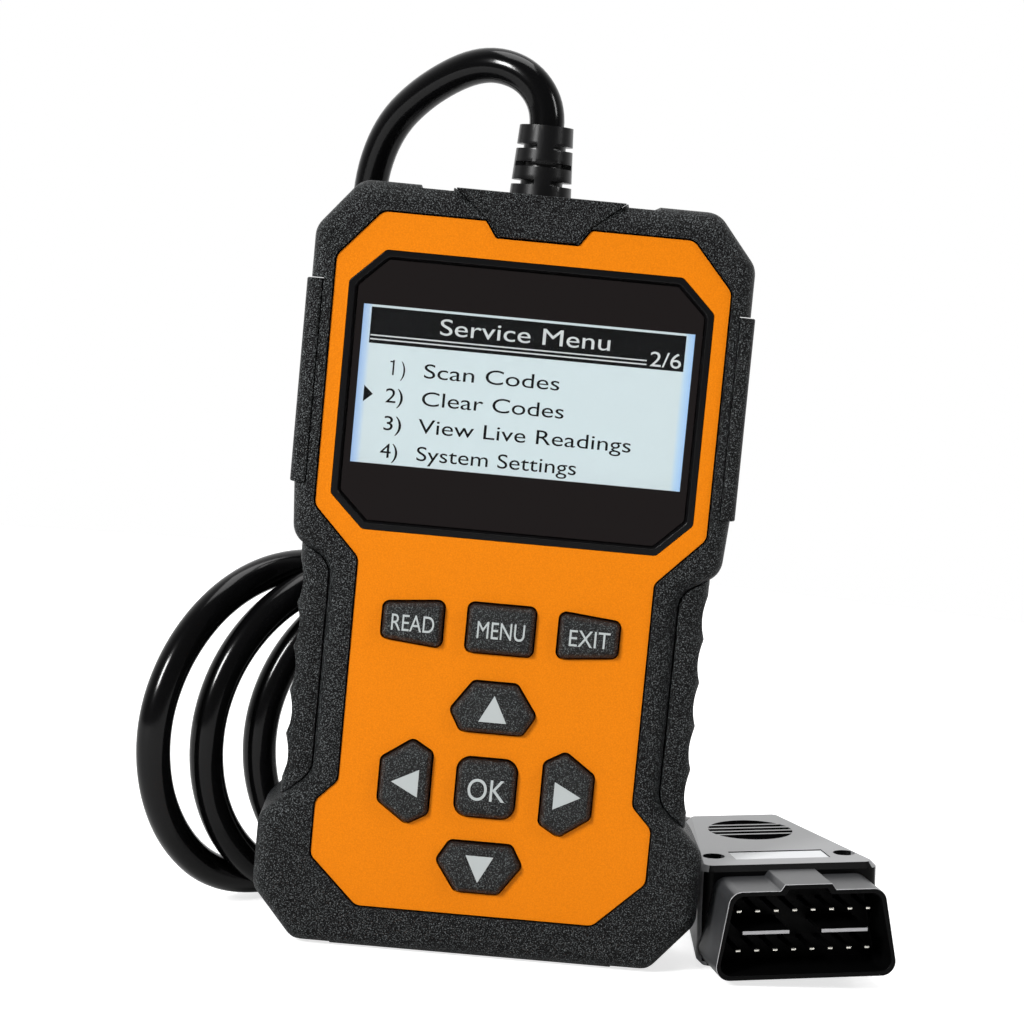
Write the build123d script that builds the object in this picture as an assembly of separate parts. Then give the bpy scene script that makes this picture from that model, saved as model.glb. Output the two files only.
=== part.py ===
from build123d import *
import math
import os

os.makedirs("parts", exist_ok=True)

# A handheld reader for a car's diagnostic port, with its cord and its 16-way plug.
# Millimetres. The handset stands upright: x runs to its right, y from its face to its back
# and z up. The origin is at the middle of its foot. The coil of cord and the plug stand on
# the same surface, behind the handset and to its right.

# --- Handset body -------------------------------------------------------------------------
body_half_width = 45.2
lower_half_width = body_half_width + 1.4
body_height = 158.6
body_depth = 28.0
wall = 2.2
corner_radius = 5.0
bottom_corner_width = 9.3
bottom_corner_height = 10.8
top_corner_width = 8.6
top_corner_height = 10.4
waist_half_width = body_half_width - 8.8
waist_low = 36.2
waist_high = 79.8
flare_low = 26.0
flare_shoulder = 84.6
flare_shoulder_inset = 0.8
flare_top = 96.3
waist_radius = 5.0
front_edge_round = 4.2
back_edge_chamfer = 5.0
foot_half_width = body_half_width - 15.7
foot_height = 0.7
crown_notch_inner = 17.9
crown_notch_outer = 24.5
crown_notch_depth = 0.7
top_wall = 3.6
bottom_wall = 2.8

front_y = -body_depth / 2
back_y = body_depth / 2
split_y = 0.0

# --- Face plate ---------------------------------------------------------------------------
plate_inset = 0.5
plate_thickness = 1.6
plate_groove = 0.35
shelf_thickness = 1.4
plate_half_width = body_half_width - 4.9
plate_bottom = 9.2
plate_top = body_height - 6.2
plate_bottom_half_width = body_half_width - 20.5
plate_low_half_width = body_half_width - 10.3
plate_low_height = 19.0
plate_waist_half_width = body_half_width - 14.7
plate_low_shoulder = 30.5
plate_waist_low = 35.0
plate_waist_high = 81.7
plate_screen_low = 91.8
plate_screen_high = body_height - 15.9
plate_top_half_width = body_half_width - 13.5
plate_radius = 2.5

plate_y = front_y + plate_inset
shelf_y = plate_y + plate_thickness
inside_y = shelf_y + shelf_thickness

# --- Cover block over the cord's exit -----------------------------------------------------
cover_low_half_width = 7.7
cover_mid_half_width = 10.0
cover_top_half_width = 17.5
cover_bottom = body_height - 9.1
cover_corner = 0.6
cover_margin = 0.8
cover_proud = 0.3
cover_cap_thickness = 2.1
cover_cap_back_y = -7.5
snug = 0.1

# --- Side strips and finger grips ---------------------------------------------------------
strip_inner = body_half_width - 2.5
strip_proud = 0.8
strip_recess = 0.2
strip_bottom = 96.0
strip_top = body_height - 20.8
strip_round = 2.4
groove = 0.15
grip_half_width = body_half_width - 2.9
grip_depth_front = 11.5
grip_depth_back = 10.5
grip_round = 4.0
grip_gap = 0.2
scallop_count = 5
scallop_pitch = 9.2
scallop_radius = 12.0
scallop_depth = 1.0

# --- Screen -------------------------------------------------------------------------------
window_half_width = body_half_width - 7.9
window_bottom = 87.6
window_top = body_height - 13.9
window_corner_width = 7.0
window_corner_height = 6.8
window_radius = 1.2
bezel_width = 1.8
lens_recess = 0.6
lens_thickness = 0.8
mask_thickness = 0.2
view_half_width = window_half_width - 3.3
view_bottom = window_bottom + 13.5
view_top = window_top - 11.2
panel_margin = 2.6
panel_gap = 0.1
panel_thickness = 2.2
backlight_thickness = 2.0
frame_wall = 1.2
view_opening_margin = 1.2

view_middle = (view_bottom + view_top) / 2
view_height = view_top - view_bottom
panel_y = inside_y + panel_gap
backlight_y = panel_y + panel_thickness

# --- Main board ---------------------------------------------------------------------------
board_y = backlight_y + backlight_thickness + 1.3
board_thickness = 1.6
board_bottom = 7.0
board_low_half_width = body_half_width - 19.2
board_waist_half_width = body_half_width - 12.2
board_corner = 14.0
board_flare = 90.3
board_half_width = body_half_width - 7.7
board_shoulder = body_height - 18.3
board_top = body_height - 13.3
board_top_half_width = body_half_width - 15.2
board_back_y = board_y + board_thickness
board_screw_places = [
    (body_half_width - 16.4, 16.0),
    (body_half_width - 17.2, body_height - 16.7),
]
board_boss_radius = 3.0
board_screw_radius = 1.0
board_screw_head_radius = 2.2
board_screw_head_height = 1.4
thread_gap = 0.05

# --- Parts on the board -------------------------------------------------------------------
# Middle, half width and half height of each chip.
chip_places = [(0, 58, 7.0, 7.0), (17, 62, 4.2, 3.0), (-18, 60, 5.0, 3.0), (-14, 84, 4.0, 4.0)]
chip_height = 1.5
crystal_place = (0, 74)
crystal_length = 11.0
crystal_width = 4.6
crystal_height = 3.4
capacitor_places = [(-24, 100), (-24, 110), (-14, 105)]
capacitor_radius = 3.1
capacitor_height = 6.5
buzzer_place = (22, 105)
buzzer_radius = 6.0
buzzer_height = 5.5

# --- Lead from the cord to the board ------------------------------------------------------
socket_half_width = 6.0
socket_height = 6.0
socket_span = (body_height - 30.3, body_height - 23.3)
socket_wall = 1.0
socket_floor = 2.0
tongue_length = 7.0
wire_radius = 0.6
wire_pitch = 2.4
wire_pitch_in_sheath = 1.5
wire_bend = 1.5
wire_straight = 4.0
wire_count = 4
sheath_length = 5.0

# --- Screws that hold the two shells ------------------------------------------------------
case_screw_places = [
    (body_half_width - 7.8, 19.0),
    (body_half_width - 10.2, body_height - 9.7),
]
case_boss_radius = 3.2
case_rear_boss_radius = 3.8
case_screw_radius = 1.4
case_screw_grip = 5.0
case_hole_spare = 1.0
case_screw_head_radius = 2.8
case_screw_head_height = 1.8
case_screw_sink = 6.0
case_screw_play = 0.3
recess_reach = 1.6
recess_half = 0.35
recess_depth = 0.8

# --- Keys ---------------------------------------------------------------------------------
key_travel = 1.2
key_proud = 1.6
key_gap = 0.35
shelf_key_margin = 0.15
key_edge = 0.8
key_flange_margin = 1.2
key_flange_thickness = 0.9
key_flange_gap = 0.2
key_stem_radius = 2.0
key_stem_length = 0.9
key_radius = 1.3
key_mat_gap = 0.3
dome_height = 0.9
dome_base_radius = 3.6
dome_top_radius = 2.6
mat_half_width = body_half_width - 19.7
mat_bottom = 14.5
mat_top = 76.3

function_key_height = 69.4
function_key_pitch = 18.2
middle_key_width = 13.8
middle_key_tall = 10.1
side_key_width = 12.4
side_key_inner_tall = 9.6
side_key_outer_tall = 7.3
pad_height = 36.2
pad_pitch = 16.85
ok_key_size = 12.2
ok_key_radius = 2.7
arrow_key_length = 17.6
arrow_key_width = 10.4
arrow_key_outer = 8.9
arrow_key_inner = 12.7
arrow_key_elbow = 4.2

key_flange_y = inside_y + key_flange_gap
key_stem_y = key_flange_y + key_flange_thickness
dome_y = key_stem_y + key_stem_length + key_travel + key_mat_gap
mat_y = dome_y + dome_height

# --- Strain relief, cord and coil ---------------------------------------------------------
cord_radius = 3.65
relief_base_radius = 6.5
relief_top_radius = 5.6
relief_height = 15.4
relief_neck_radius = 4.6
relief_flange_radius = 7.0
relief_flange_thickness = 2.2
relief_slot_height = 1.0
relief_slot_pitch = 3.7
relief_slot_lowered = 0.6
relief_web = 3.4
relief_core_radius = 4.4

crown = body_height - crown_notch_depth
ceiling = body_height - top_wall
relief_top = crown + relief_height
relief_flange_gap = 0.1

coil_radius = 35.3
coil_centre_height = coil_radius + cord_radius
# Left end of the turn beside the handset, and of the turn furthest from it.
near_turn_left = (-49.3, 15.5)
far_turn_left = (-70.8, 0.0)
near_turn_yaw = 24.0
far_turn_yaw = 48.0

# From the strain relief over the top and down behind the handset to the coil.
upper_cord_route = [
    (0.0, 0.0, relief_top),
    (0.0, 0.0, relief_top + 4.5),
    (-5.5, 1.5, relief_top + 11.0),
    (-14.7, 5.8, relief_top + 12.6),
    (-25.7, 14.5, relief_top + 6.7),
    (-34.0, 22.5, relief_top - 2.4),
    (-37.2, 27.0, relief_top - 17.0),
    (-34.5, 30.5, 131.0),
    (-28.5, 31.5, 105.0),
    (-29.0, 26.8, 81.5),
    (-36.9, 21.3, 66.0),
]
# From the foot of the far turn along the surface to the plug, without its last points.
lower_cord_route = [
    (-47.2, 26.2, 3.7),
    (-37.5, 38.5, 3.7),
    (-29.5, 58.5, 3.7),
    (-21.6, 80.2, 3.7),
    (-6.2, 98.6, 3.7),
    (16.5, 106.0, 4.2),
    (41.0, 98.0, 7.2),
]

# --- Plug ---------------------------------------------------------------------------------
plug_front = (lower_half_width + 22.9, -15.0)
plug_yaw = 9.0
plug_roll = 4.5
shroud_half_width = 20.0
shroud_top_half_width = 16.6
shroud_bottom = 0.8
shroud_height = 18.8
shroud_length = 13.0
shroud_wall = 1.0
shroud_radius = 3.0
shroud_seat = 4.0
pin_pitch = 4.0
pin_count = 8
pin_row_spacing = 8.4
pin_rows_middle = 10.5
pin_width = 1.1
pin_thickness = 0.6
pin_recess = 3.0
pin_tail = 2.5
rib_inner = 3.4
rib_outer = 13.6
rib_thickness = 0.9
rib_recess = 1.5
key_tab_half_width = 6.0
key_tab_height = 1.3
key_tab_root = 3.0
key_tab_slope = 0.9
housing_half_width = 20.2
housing_rear_half_width = 11.0
housing_waist_half_width = 13.2
housing_waist = 50.0
housing_length = 62.0
housing_height = 21.8
housing_split = 11.0
housing_wall = 2.0
housing_radius = 3.0
housing_edge = 1.2
thumb_centre = 46.0
thumb_radius = 9.5
thumb_depth = 1.2
thumb_rib_count = 4
thumb_rib_pitch = 3.0
thumb_rib_width = 1.0
label_half_width = 10.5
label_near = 19.0
label_far = 26.0
label_depth = 0.5
label_thickness = 0.3
plug_screw_place = (14.6, 22.5)
plug_screw_radius = 1.2
plug_screw_head_radius = 2.2
plug_screw_head_height = 1.5
plug_screw_sink = 2.5
plug_screw_play = 0.2
plug_boss_radius = 3.0
plug_board_thickness = 1.6
plug_board_half_width = 11.0
plug_board_length = 20.0
plug_relief_length = 14.0
plug_relief_base_radius = 6.0
plug_relief_top_radius = 4.6
plug_relief_flange_radius = 7.4
plug_relief_flange_thickness = 1.8

plug_exit_run = 16.0

floor_of_shroud = shroud_length + shroud_seat


# --- Shapes -------------------------------------------------------------------------------
def outline(corners):
    """A face in the x-z plane from (x, z, radius) corners."""
    points = [(x, z) for x, z, radius in corners]
    radii = [radius for x, z, radius in corners]
    return make_face(Plane.XZ * FilletPolyline(*points, radius=radii, close=True))


def symmetric(right_half):
    """Corners of a whole outline from those of its right half, listed bottom to top."""
    return right_half + [(-x, z, radius) for x, z, radius in reversed(right_half)]


def slab(face, y_from, y_to):
    """A face of the x-z plane extruded between two depths."""
    return extrude(Pos(0, y_from, 0) * face, amount=y_to - y_from, dir=(0, 1, 0))


def grown(face, amount):
    """A face of the x-z plane with its edge moved outwards."""
    return offset(face, amount=amount, kind=Kind.INTERSECTION)


def post(x, z, y_from, y_to, radius):
    """A round post along y."""
    disc = Plane(origin=(x, y_from, z), z_dir=(0, 1, 0)) * Circle(radius)
    return extrude(disc, amount=y_to - y_from)


def upright(x, y, z_from, z_to, radius):
    """A round post along z."""
    return extrude(Pos(x, y, z_from) * Circle(radius), amount=z_to - z_from)


def block(x_from, x_to, y_from, y_to, z_from, z_to):
    """A box between two corners."""
    size = (x_to - x_from, y_to - y_from, z_to - z_from)
    middle = ((x_from + x_to) / 2, (y_from + y_to) / 2, (z_from + z_to) / 2)
    return Pos(*middle) * Box(*size)


def save(name, shape):
    """Write one sub-part."""
    export_step(shape if isinstance(shape, Compound) else Compound([shape]), f"parts/{name}.step")


def both_sides(places):
    """Each (x, z) place and its mirror image."""
    return [(side * x, z) for x, z in places for side in (1, -1)]


def group(solids):
    """Several separate solids as one sub-part."""
    return Compound([solid for shape in solids for solid in shape.solids()])


# --- Outlines -----------------------------------------------------------------------------
def body_face():
    return outline(
        symmetric(
            [
                (lower_half_width - bottom_corner_width, 0, corner_radius),
                (lower_half_width, bottom_corner_height, corner_radius),
                (lower_half_width, flare_low, waist_radius),
                (waist_half_width, waist_low, waist_radius),
                (waist_half_width, waist_high, waist_radius),
                (body_half_width - flare_shoulder_inset, flare_shoulder, waist_radius),
                (body_half_width, flare_top, corner_radius),
                (body_half_width, body_height - top_corner_height, corner_radius),
                (body_half_width - top_corner_width, body_height, corner_radius),
            ]
        )
    )


def plain_body_corners(inset):
    """The corners of the body's outline without its waist, moved inwards."""
    return symmetric(
        [
            (lower_half_width - bottom_corner_width, inset, corner_radius),
            (lower_half_width - inset, bottom_corner_height, corner_radius),
            (body_half_width - inset, body_height - top_corner_height, corner_radius),
            (body_half_width - top_corner_width, body_height - inset, corner_radius),
        ]
    )


def cavity_face():
    side = body_half_width - wall
    strip_side = strip_inner - wall
    waist = waist_half_width - wall
    return outline(
        symmetric(
            [
                (body_half_width - bottom_corner_width - 1.0, bottom_wall, 2),
                (side, bottom_corner_height + 1.4, 2),
                (side, flare_low - 1.0, 1),
                (waist, waist_low - 1.0, 1),
                (waist, waist_high + 1.0, 1),
                (strip_side - 1.0, flare_shoulder + 4.0, 1),
                (strip_side, strip_bottom - 2.0, 1),
                (strip_side, body_height - top_corner_height + 0.8, 2),
                (body_half_width - top_corner_width - 1.8, ceiling, 2),
            ]
        )
    )


def plate_face():
    return outline(
        symmetric(
            [
                (plate_bottom_half_width, plate_bottom, plate_radius),
                (plate_low_half_width, plate_low_height, plate_radius),
                (plate_low_half_width, plate_low_shoulder, plate_radius),
                (plate_waist_half_width, plate_waist_low, plate_radius),
                (plate_waist_half_width, plate_waist_high, plate_radius),
                (plate_half_width, plate_screen_low, plate_radius),
                (plate_half_width, plate_screen_high, plate_radius),
                (plate_top_half_width, plate_top, plate_radius),
                (cover_mid_half_width + cover_margin, plate_top, cover_corner),
                (cover_low_half_width + cover_margin, cover_bottom - cover_margin / 2, cover_corner),
            ]
        )
    )


def cover_face():
    return outline(
        symmetric(
            [
                (cover_low_half_width, cover_bottom, cover_corner),
                (cover_mid_half_width, plate_top, cover_corner),
                (cover_top_half_width, body_height, 0),
            ]
        )
    )


def window_face(inset):
    """The screen window's octagon, moved inwards."""
    side = window_half_width - inset
    corner = inset * math.tan(math.radians(22.5))
    return outline(
        symmetric(
            [
                (window_half_width - window_corner_width - corner, window_bottom + inset, window_radius),
                (side, window_bottom + window_corner_height + corner, window_radius),
                (side, window_top - window_corner_height - corner, window_radius),
                (window_half_width - window_corner_width - corner, window_top - inset, window_radius),
            ]
        )
    )


def view_face(margin):
    """The visible rectangle of the display, moved outwards."""
    face = Plane.XZ * Rectangle(2 * (view_half_width + margin), view_height + 2 * margin)
    return Pos(0, 0, view_middle) * face


def middle_key_face():
    face = Plane.XZ * RectangleRounded(middle_key_width, middle_key_tall, key_radius)
    return Pos(0, 0, function_key_height) * face


def side_key_face(side):
    inner = function_key_pitch - side_key_width / 2
    outer = function_key_pitch + side_key_width / 2
    return outline(
        [
            (side * inner, function_key_height - side_key_inner_tall / 2, key_radius),
            (side * outer, function_key_height - side_key_outer_tall / 2, key_radius),
            (side * outer, function_key_height + side_key_outer_tall / 2, key_radius),
            (side * inner, function_key_height + side_key_inner_tall / 2, key_radius),
        ]
    )


def ok_key_face():
    face = Plane.XZ * RectangleRounded(ok_key_size, ok_key_size, ok_key_radius)
    return Pos(0, 0, pad_height) * face


def arrow_key_face(turn):
    """The six-sided arrow key above the middle of the pad, turned about that middle."""
    inner = pad_pitch - arrow_key_width / 2
    outer = pad_pitch + arrow_key_width / 2
    elbow = inner + arrow_key_elbow
    corners = [
        (-arrow_key_inner / 2, inner, key_radius),
        (arrow_key_inner / 2, inner, key_radius),
        (arrow_key_length / 2, elbow, key_radius),
        (arrow_key_outer / 2, outer, key_radius),
        (-arrow_key_outer / 2, outer, key_radius),
        (-arrow_key_length / 2, elbow, key_radius),
    ]
    return Pos(0, 0, pad_height) * Rot(0, turn, 0) * outline(corners)


key_faces = {
    "key_read": side_key_face(-1),
    "key_menu": middle_key_face(),
    "key_exit": side_key_face(1),
    "key_up": arrow_key_face(0),
    "key_right": arrow_key_face(90),
    "key_down": arrow_key_face(180),
    "key_left": arrow_key_face(270),
    "key_ok": ok_key_face(),
}
key_centres = {
    "key_read": (-function_key_pitch, function_key_height),
    "key_menu": (0, function_key_height),
    "key_exit": (function_key_pitch, function_key_height),
    "key_up": (0, pad_height + pad_pitch),
    "key_right": (pad_pitch, pad_height),
    "key_down": (0, pad_height - pad_pitch),
    "key_left": (-pad_pitch, pad_height),
    "key_ok": (0, pad_height),
}


# --- Shells and covers --------------------------------------------------------------------
def cover_block(clearance):
    """The block over the cord's exit: a front tongue and a cap over the top wall."""
    face = grown(cover_face(), clearance) if clearance else cover_face()
    front = front_y - cover_proud
    tongue = slab(face, front, shelf_y)
    cap_floor = body_height - cover_cap_thickness - clearance
    cap = slab(face, shelf_y, cover_cap_back_y + clearance)
    cap &= block(-50, 50, front, back_y, cap_floor, body_height + clearance)
    return tongue + cap


def strip_block():
    """The rubber strip along the right side, from its front bevel to its back bevel."""
    x_out = body_half_width + strip_proud
    front = front_y + strip_recess
    back = back_y - back_edge_chamfer
    section = make_face(
        FilletPolyline(
            (strip_inner, front),
            (x_out, front),
            (x_out, back),
            (strip_inner, back + x_out - strip_inner),
            radius=[0, strip_round, strip_round, 0],
            close=True,
        )
    )
    return extrude(Pos(0, 0, strip_bottom) * section, amount=strip_top - strip_bottom)


def strip_pocket():
    """What the shells leave free for the right strip."""
    return block(
        strip_inner - groove,
        body_half_width + 5,
        front_y - 1,
        back_y + 1,
        strip_bottom - groove,
        strip_top + groove,
    )


def grip_block():
    """The right finger grip: a rounded rubber pad that fills the waist, with scallops."""
    low, high = flare_low + 2.0, flare_shoulder + 1.0
    middle = (low + high) / 2
    face = Plane.XZ * Rectangle(grip_half_width - waist_half_width - grip_gap, high - low)
    face = Pos((grip_half_width + waist_half_width + grip_gap) / 2, 0, middle) * face
    pad = slab(face, -grip_depth_front, grip_depth_back)
    pad -= slab(grown(body_face(), grip_gap), front_y, back_y)
    pad = max(pad.solids(), key=lambda solid: solid.volume)
    outer_edges = pad.edges().filter_by(Axis.Z).sort_by(Axis.X)[-2:]
    pad = fillet(outer_edges, grip_round)
    for index in range(scallop_count):
        height = middle + (index - (scallop_count - 1) / 2) * scallop_pitch
        reach = grip_half_width - scallop_depth + scallop_radius
        pad -= post(reach, height, front_y, back_y, scallop_radius)
    return pad


def front_shell():
    shell = slab(body_face(), front_y, split_y)
    front_edges = shell.faces().sort_by(Axis.Y)[0].edges()
    shell = fillet(front_edges, front_edge_round)
    shell -= slab(grown(plate_face(), plate_groove), front_y, shelf_y)
    shell -= slab(cavity_face(), inside_y, split_y)
    shell -= slab(view_face(view_opening_margin), shelf_y, inside_y)
    for face in key_faces.values():
        shell -= slab(grown(face, key_gap + shelf_key_margin), shelf_y, inside_y)
    for x, z in both_sides(board_screw_places):
        shell += post(x, z, inside_y, board_y, board_boss_radius)
        shell -= post(x, z, inside_y, board_y, board_screw_radius + thread_gap)
    for x, z in both_sides(case_screw_places):
        shell += post(x, z, inside_y, split_y, case_boss_radius)
        depth = split_y - case_screw_grip - case_hole_spare
        shell -= post(x, z, depth, split_y, case_screw_radius + thread_gap)
    shell -= cover_block(snug)
    return trim_shell(shell)


def bevelled_back(inset, y_end, bevel):
    """The plain outline as a block from the split to y_end, with a bevel round its back."""
    wide = outline(plain_body_corners(inset))
    narrow = outline(plain_body_corners(inset + bevel))
    start = y_end - bevel
    return slab(wide, split_y, start) + loft([Pos(0, start, 0) * wide, Pos(0, y_end, 0) * narrow])


def rear_shell():
    bulk = bevelled_back(0, back_y, back_edge_chamfer)
    shell = slab(body_face(), split_y, back_y) & bulk
    hollow_end = back_y - wall
    hollow = bevelled_back(wall, hollow_end, back_edge_chamfer - 1.0)
    shell -= slab(cavity_face(), split_y, hollow_end) & hollow
    for x, z in both_sides(case_screw_places):
        seat = back_y - case_screw_sink
        boss = post(x, z, split_y, back_y, case_rear_boss_radius)
        shell += boss & bulk
        shell -= post(x, z, split_y, seat, case_screw_radius + case_screw_play)
        shell -= post(x, z, seat, back_y, case_screw_head_radius + case_screw_play)
    return trim_shell(shell)


def trim_shell(shell):
    """The cuts that both shells share: strips, crown notches, foot edges and cord exit."""
    pocket = strip_pocket()
    shell -= pocket
    shell -= mirror(pocket, about=Plane.YZ)
    for side in (1, -1):
        inner, outer = sorted((side * crown_notch_inner, side * crown_notch_outer))
        shell -= block(inner, outer, front_y, back_y, crown, body_height)
        inner, outer = sorted((side * foot_half_width, side * body_half_width))
        shell -= block(inner, outer, front_y, back_y, 0, foot_height)
    shell -= block(
        -crown_notch_inner, crown_notch_inner, cover_cap_back_y + snug, back_y, crown, body_height
    )
    shell -= upright(0, 0, ceiling - 1, body_height, relief_neck_radius + snug)
    return shell


# --- Screen, board and keys ---------------------------------------------------------------
def screen_bezel():
    ring = slab(window_face(0), plate_y, shelf_y) - slab(window_face(bezel_width), plate_y, shelf_y)
    inner = ring.faces().sort_by(Axis.Y)[0].inner_wires()[0].edges()
    return chamfer(inner, lens_recess, bezel_width - 0.4)


def key_cap(name):
    """A key: a cap with eased edges, a flange behind the shelf and a stem towards the mat."""
    face = key_faces[name]
    x, z = key_centres[name]
    cap = slab(face, plate_y - key_proud, key_flange_y)
    cap = chamfer(cap.faces().sort_by(Axis.Y)[0].edges(), key_edge)
    cap += slab(grown(face, key_flange_margin), key_flange_y, key_stem_y)
    return cap + post(x, z, key_stem_y, key_stem_y + key_stem_length, key_stem_radius)


def keypad_mat():
    """The silicone mat on the board, with one dome under each key."""
    mat = block(-mat_half_width, mat_half_width, mat_y, board_y, mat_bottom, mat_top)
    for x, z in key_centres.values():
        base = Plane(origin=(x, mat_y, z), z_dir=(0, -1, 0))
        top = Plane(origin=(x, dome_y, z), z_dir=(0, -1, 0))
        mat += loft([base * Circle(dome_base_radius), top * Circle(dome_top_radius)])
    return mat


def board():
    face = outline(
        symmetric(
            [
                (board_low_half_width, board_bottom, 1),
                (board_waist_half_width, board_corner, 1),
                (board_waist_half_width, board_flare, 1),
                (board_half_width, board_flare + 6, 1),
                (board_half_width, board_shoulder, 1),
                (board_top_half_width, board_top, 1),
            ]
        )
    )
    plank = slab(face, board_y, board_back_y)
    for x, z in both_sides(board_screw_places):
        plank -= post(x, z, board_y, board_back_y, board_screw_radius + 0.2)
    return plank


def lcd_frame():
    """The tray that holds the panel and its backlight on the board."""
    outer = view_face(panel_margin + panel_gap + frame_wall)
    tray = slab(outer, panel_y + 0.6, board_y)
    tray -= slab(view_face(panel_margin + panel_gap), panel_y, backlight_y + backlight_thickness)
    return tray


def board_parts():
    """Chips, crystal, capacitors, buzzer and socket on the back of the board."""
    back = board_back_y
    chips = []
    for x, z, half_width, half_height in chip_places:
        sides = (x - half_width, x + half_width)
        chips.append(block(*sides, back, back + chip_height, z - half_height, z + half_height))
    save("board_chips", group(chips))
    crystal_plane = Plane(origin=(crystal_place[0], back, crystal_place[1]), z_dir=(0, 1, 0))
    crystal = crystal_plane * SlotOverall(crystal_length, crystal_width)
    save("board_crystal", extrude(crystal, amount=crystal_height))
    cans = [post(x, z, back, back + capacitor_height, capacitor_radius) for x, z in capacitor_places]
    save("board_capacitors", group(cans))
    save("buzzer", post(*buzzer_place, back, back + buzzer_height, buzzer_radius))
    low, high = socket_span
    socket = socket_block(0, low, high)
    save("board_socket", socket - socket_block(socket_wall, low + socket_floor, high))
    tongue_low = low + socket_floor + snug
    tongue = socket_block(socket_wall + snug, tongue_low, tongue_low + tongue_length)
    save("harness_plug", tongue)


def socket_block(inset, z_from, z_to):
    """A block on the board with the socket's section, made smaller all round."""
    half = socket_half_width - inset
    return block(
        -half, half, board_back_y + inset, board_back_y + socket_height - inset, z_from, z_to
    )


def harness_wires():
    """The wires from the cord's stub to the plug on the board."""
    wires = []
    start_y = board_back_y + socket_height / 2
    start_z = socket_span[0] + socket_floor + snug + tongue_length
    end_z = ceiling - relief_flange_thickness - relief_flange_gap - sheath_length
    for index in range(wire_count):
        shift = index - (wire_count - 1) / 2
        low_x = shift * wire_pitch
        high_x = shift * wire_pitch_in_sheath
        points = [
            (low_x, start_y, start_z),
            (low_x, start_y, start_z + wire_straight),
            (high_x, 0, end_z - wire_straight + 1),
            (high_x, 0, end_z),
        ]
        path = FilletPolyline(*points, radius=[wire_bend, wire_bend])
        section = Plane(origin=points[0], z_dir=(0, 0, 1)) * Circle(wire_radius)
        wires.append(sweep(section, path=path))
    return group(wires)


# --- Strain relief and cord ---------------------------------------------------------------
def cable_gland():
    """The strain relief: a slotted cone outside, a neck in the wall, a flange inside."""
    base = Pos(0, 0, crown) * Circle(relief_base_radius)
    top = Pos(0, 0, relief_top) * Circle(relief_top_radius)
    cone = loft([base, top])
    for index in (1, 2, 3):
        low = crown + index * relief_slot_pitch - relief_slot_lowered
        slot = upright(0, 0, low, low + relief_slot_height, relief_base_radius + 1)
        slot -= upright(0, 0, low, low + relief_slot_height, relief_core_radius)
        x_reach = relief_base_radius if index == 2 else relief_web / 2
        y_reach = relief_web / 2 if index == 2 else relief_base_radius
        web = block(-x_reach, x_reach, -y_reach, y_reach, low, low + relief_slot_height)
        cone -= slot - web
    neck = upright(0, 0, ceiling - relief_flange_gap, crown, relief_neck_radius)
    flange_top = ceiling - relief_flange_gap
    flange = upright(0, 0, flange_top - relief_flange_thickness, flange_top, relief_flange_radius)
    return cone + neck + flange


def cord_tube(name, route):
    """A tube along a route, with the largest smooth corners that its runs allow."""
    points = [Vector(*point) for point in route]
    radii = []
    for before, here, after in zip(points, points[1:], points[2:]):
        half_turn = math.radians((here - before).get_angle(after - here)) / 2
        shorter = min((here - before).length, (after - here).length)
        radii.append(0.45 * shorter / math.tan(half_turn))
    path = FilletPolyline(*points, radius=radii)
    section = Plane(origin=points[0], z_dir=points[1] - points[0]) * Circle(cord_radius)
    tube = sweep(section, path=path)
    straight = math.pi * cord_radius**2 * path.length
    print(name, "radii", [round(radius, 1) for radius in radii], "length", round(path.length))
    print(name, "volume over section times length", round(tube.volume / straight, 4))
    save(name, tube)


def coil_disc(left_end, yaw, shift, radius):
    """A disc in the upright plane of one turn, moved sideways out of that plane."""
    angle = math.radians(yaw)
    along = Vector(math.cos(angle), math.sin(angle), 0)
    across = Vector(math.sin(angle), -math.cos(angle), 0)
    centre = Vector(left_end[0], left_end[1], coil_centre_height) + along * coil_radius
    return Plane(origin=centre + across * shift, x_dir=along, z_dir=across) * Circle(radius)


def cord_coil():
    """The space that the loose turns fill: a leaning ring between the first and last turn."""
    def stack(radius, extra):
        return loft(
            [
                coil_disc(near_turn_left, near_turn_yaw, cord_radius + extra, radius),
                coil_disc(far_turn_left, far_turn_yaw, -cord_radius - extra, radius),
            ],
            ruled=True,
        )

    return stack(coil_radius + cord_radius, 0) - stack(coil_radius - cord_radius, 2)


# --- Plug ---------------------------------------------------------------------------------
# Each plug piece is drawn with its mouth at y = 0 facing -y, then moved to its place.
# The stiff cord holds the plug leaning on its left lower edge, just clear of the surface.
plug_axis_height = (
    housing_half_width * math.sin(math.radians(plug_roll))
    + housing_split * math.cos(math.radians(plug_roll))
)
plug_place = (
    Pos(plug_front[0], plug_front[1], plug_axis_height)
    * Rot(0, 0, plug_yaw)
    * Rot(0, -plug_roll, 0)
    * Pos(0, 0, -housing_split)
)


def shroud_face(inset):
    middle = shroud_bottom + shroud_height
    return outline(
        symmetric(
            [
                (shroud_half_width - inset, shroud_bottom + inset, shroud_radius - inset * 0.6),
                (shroud_top_half_width - inset, middle - inset, shroud_radius - inset * 0.6),
            ]
        )
    )


def tab_face(inset):
    top = shroud_bottom + shroud_height
    return outline(
        symmetric(
            [
                (key_tab_half_width - inset, top - key_tab_root, 0),
                (key_tab_half_width - inset, top - inset, 0),
                (key_tab_half_width - key_tab_slope - inset, top + key_tab_height - inset, 0.3),
            ]
        )
    )


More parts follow.
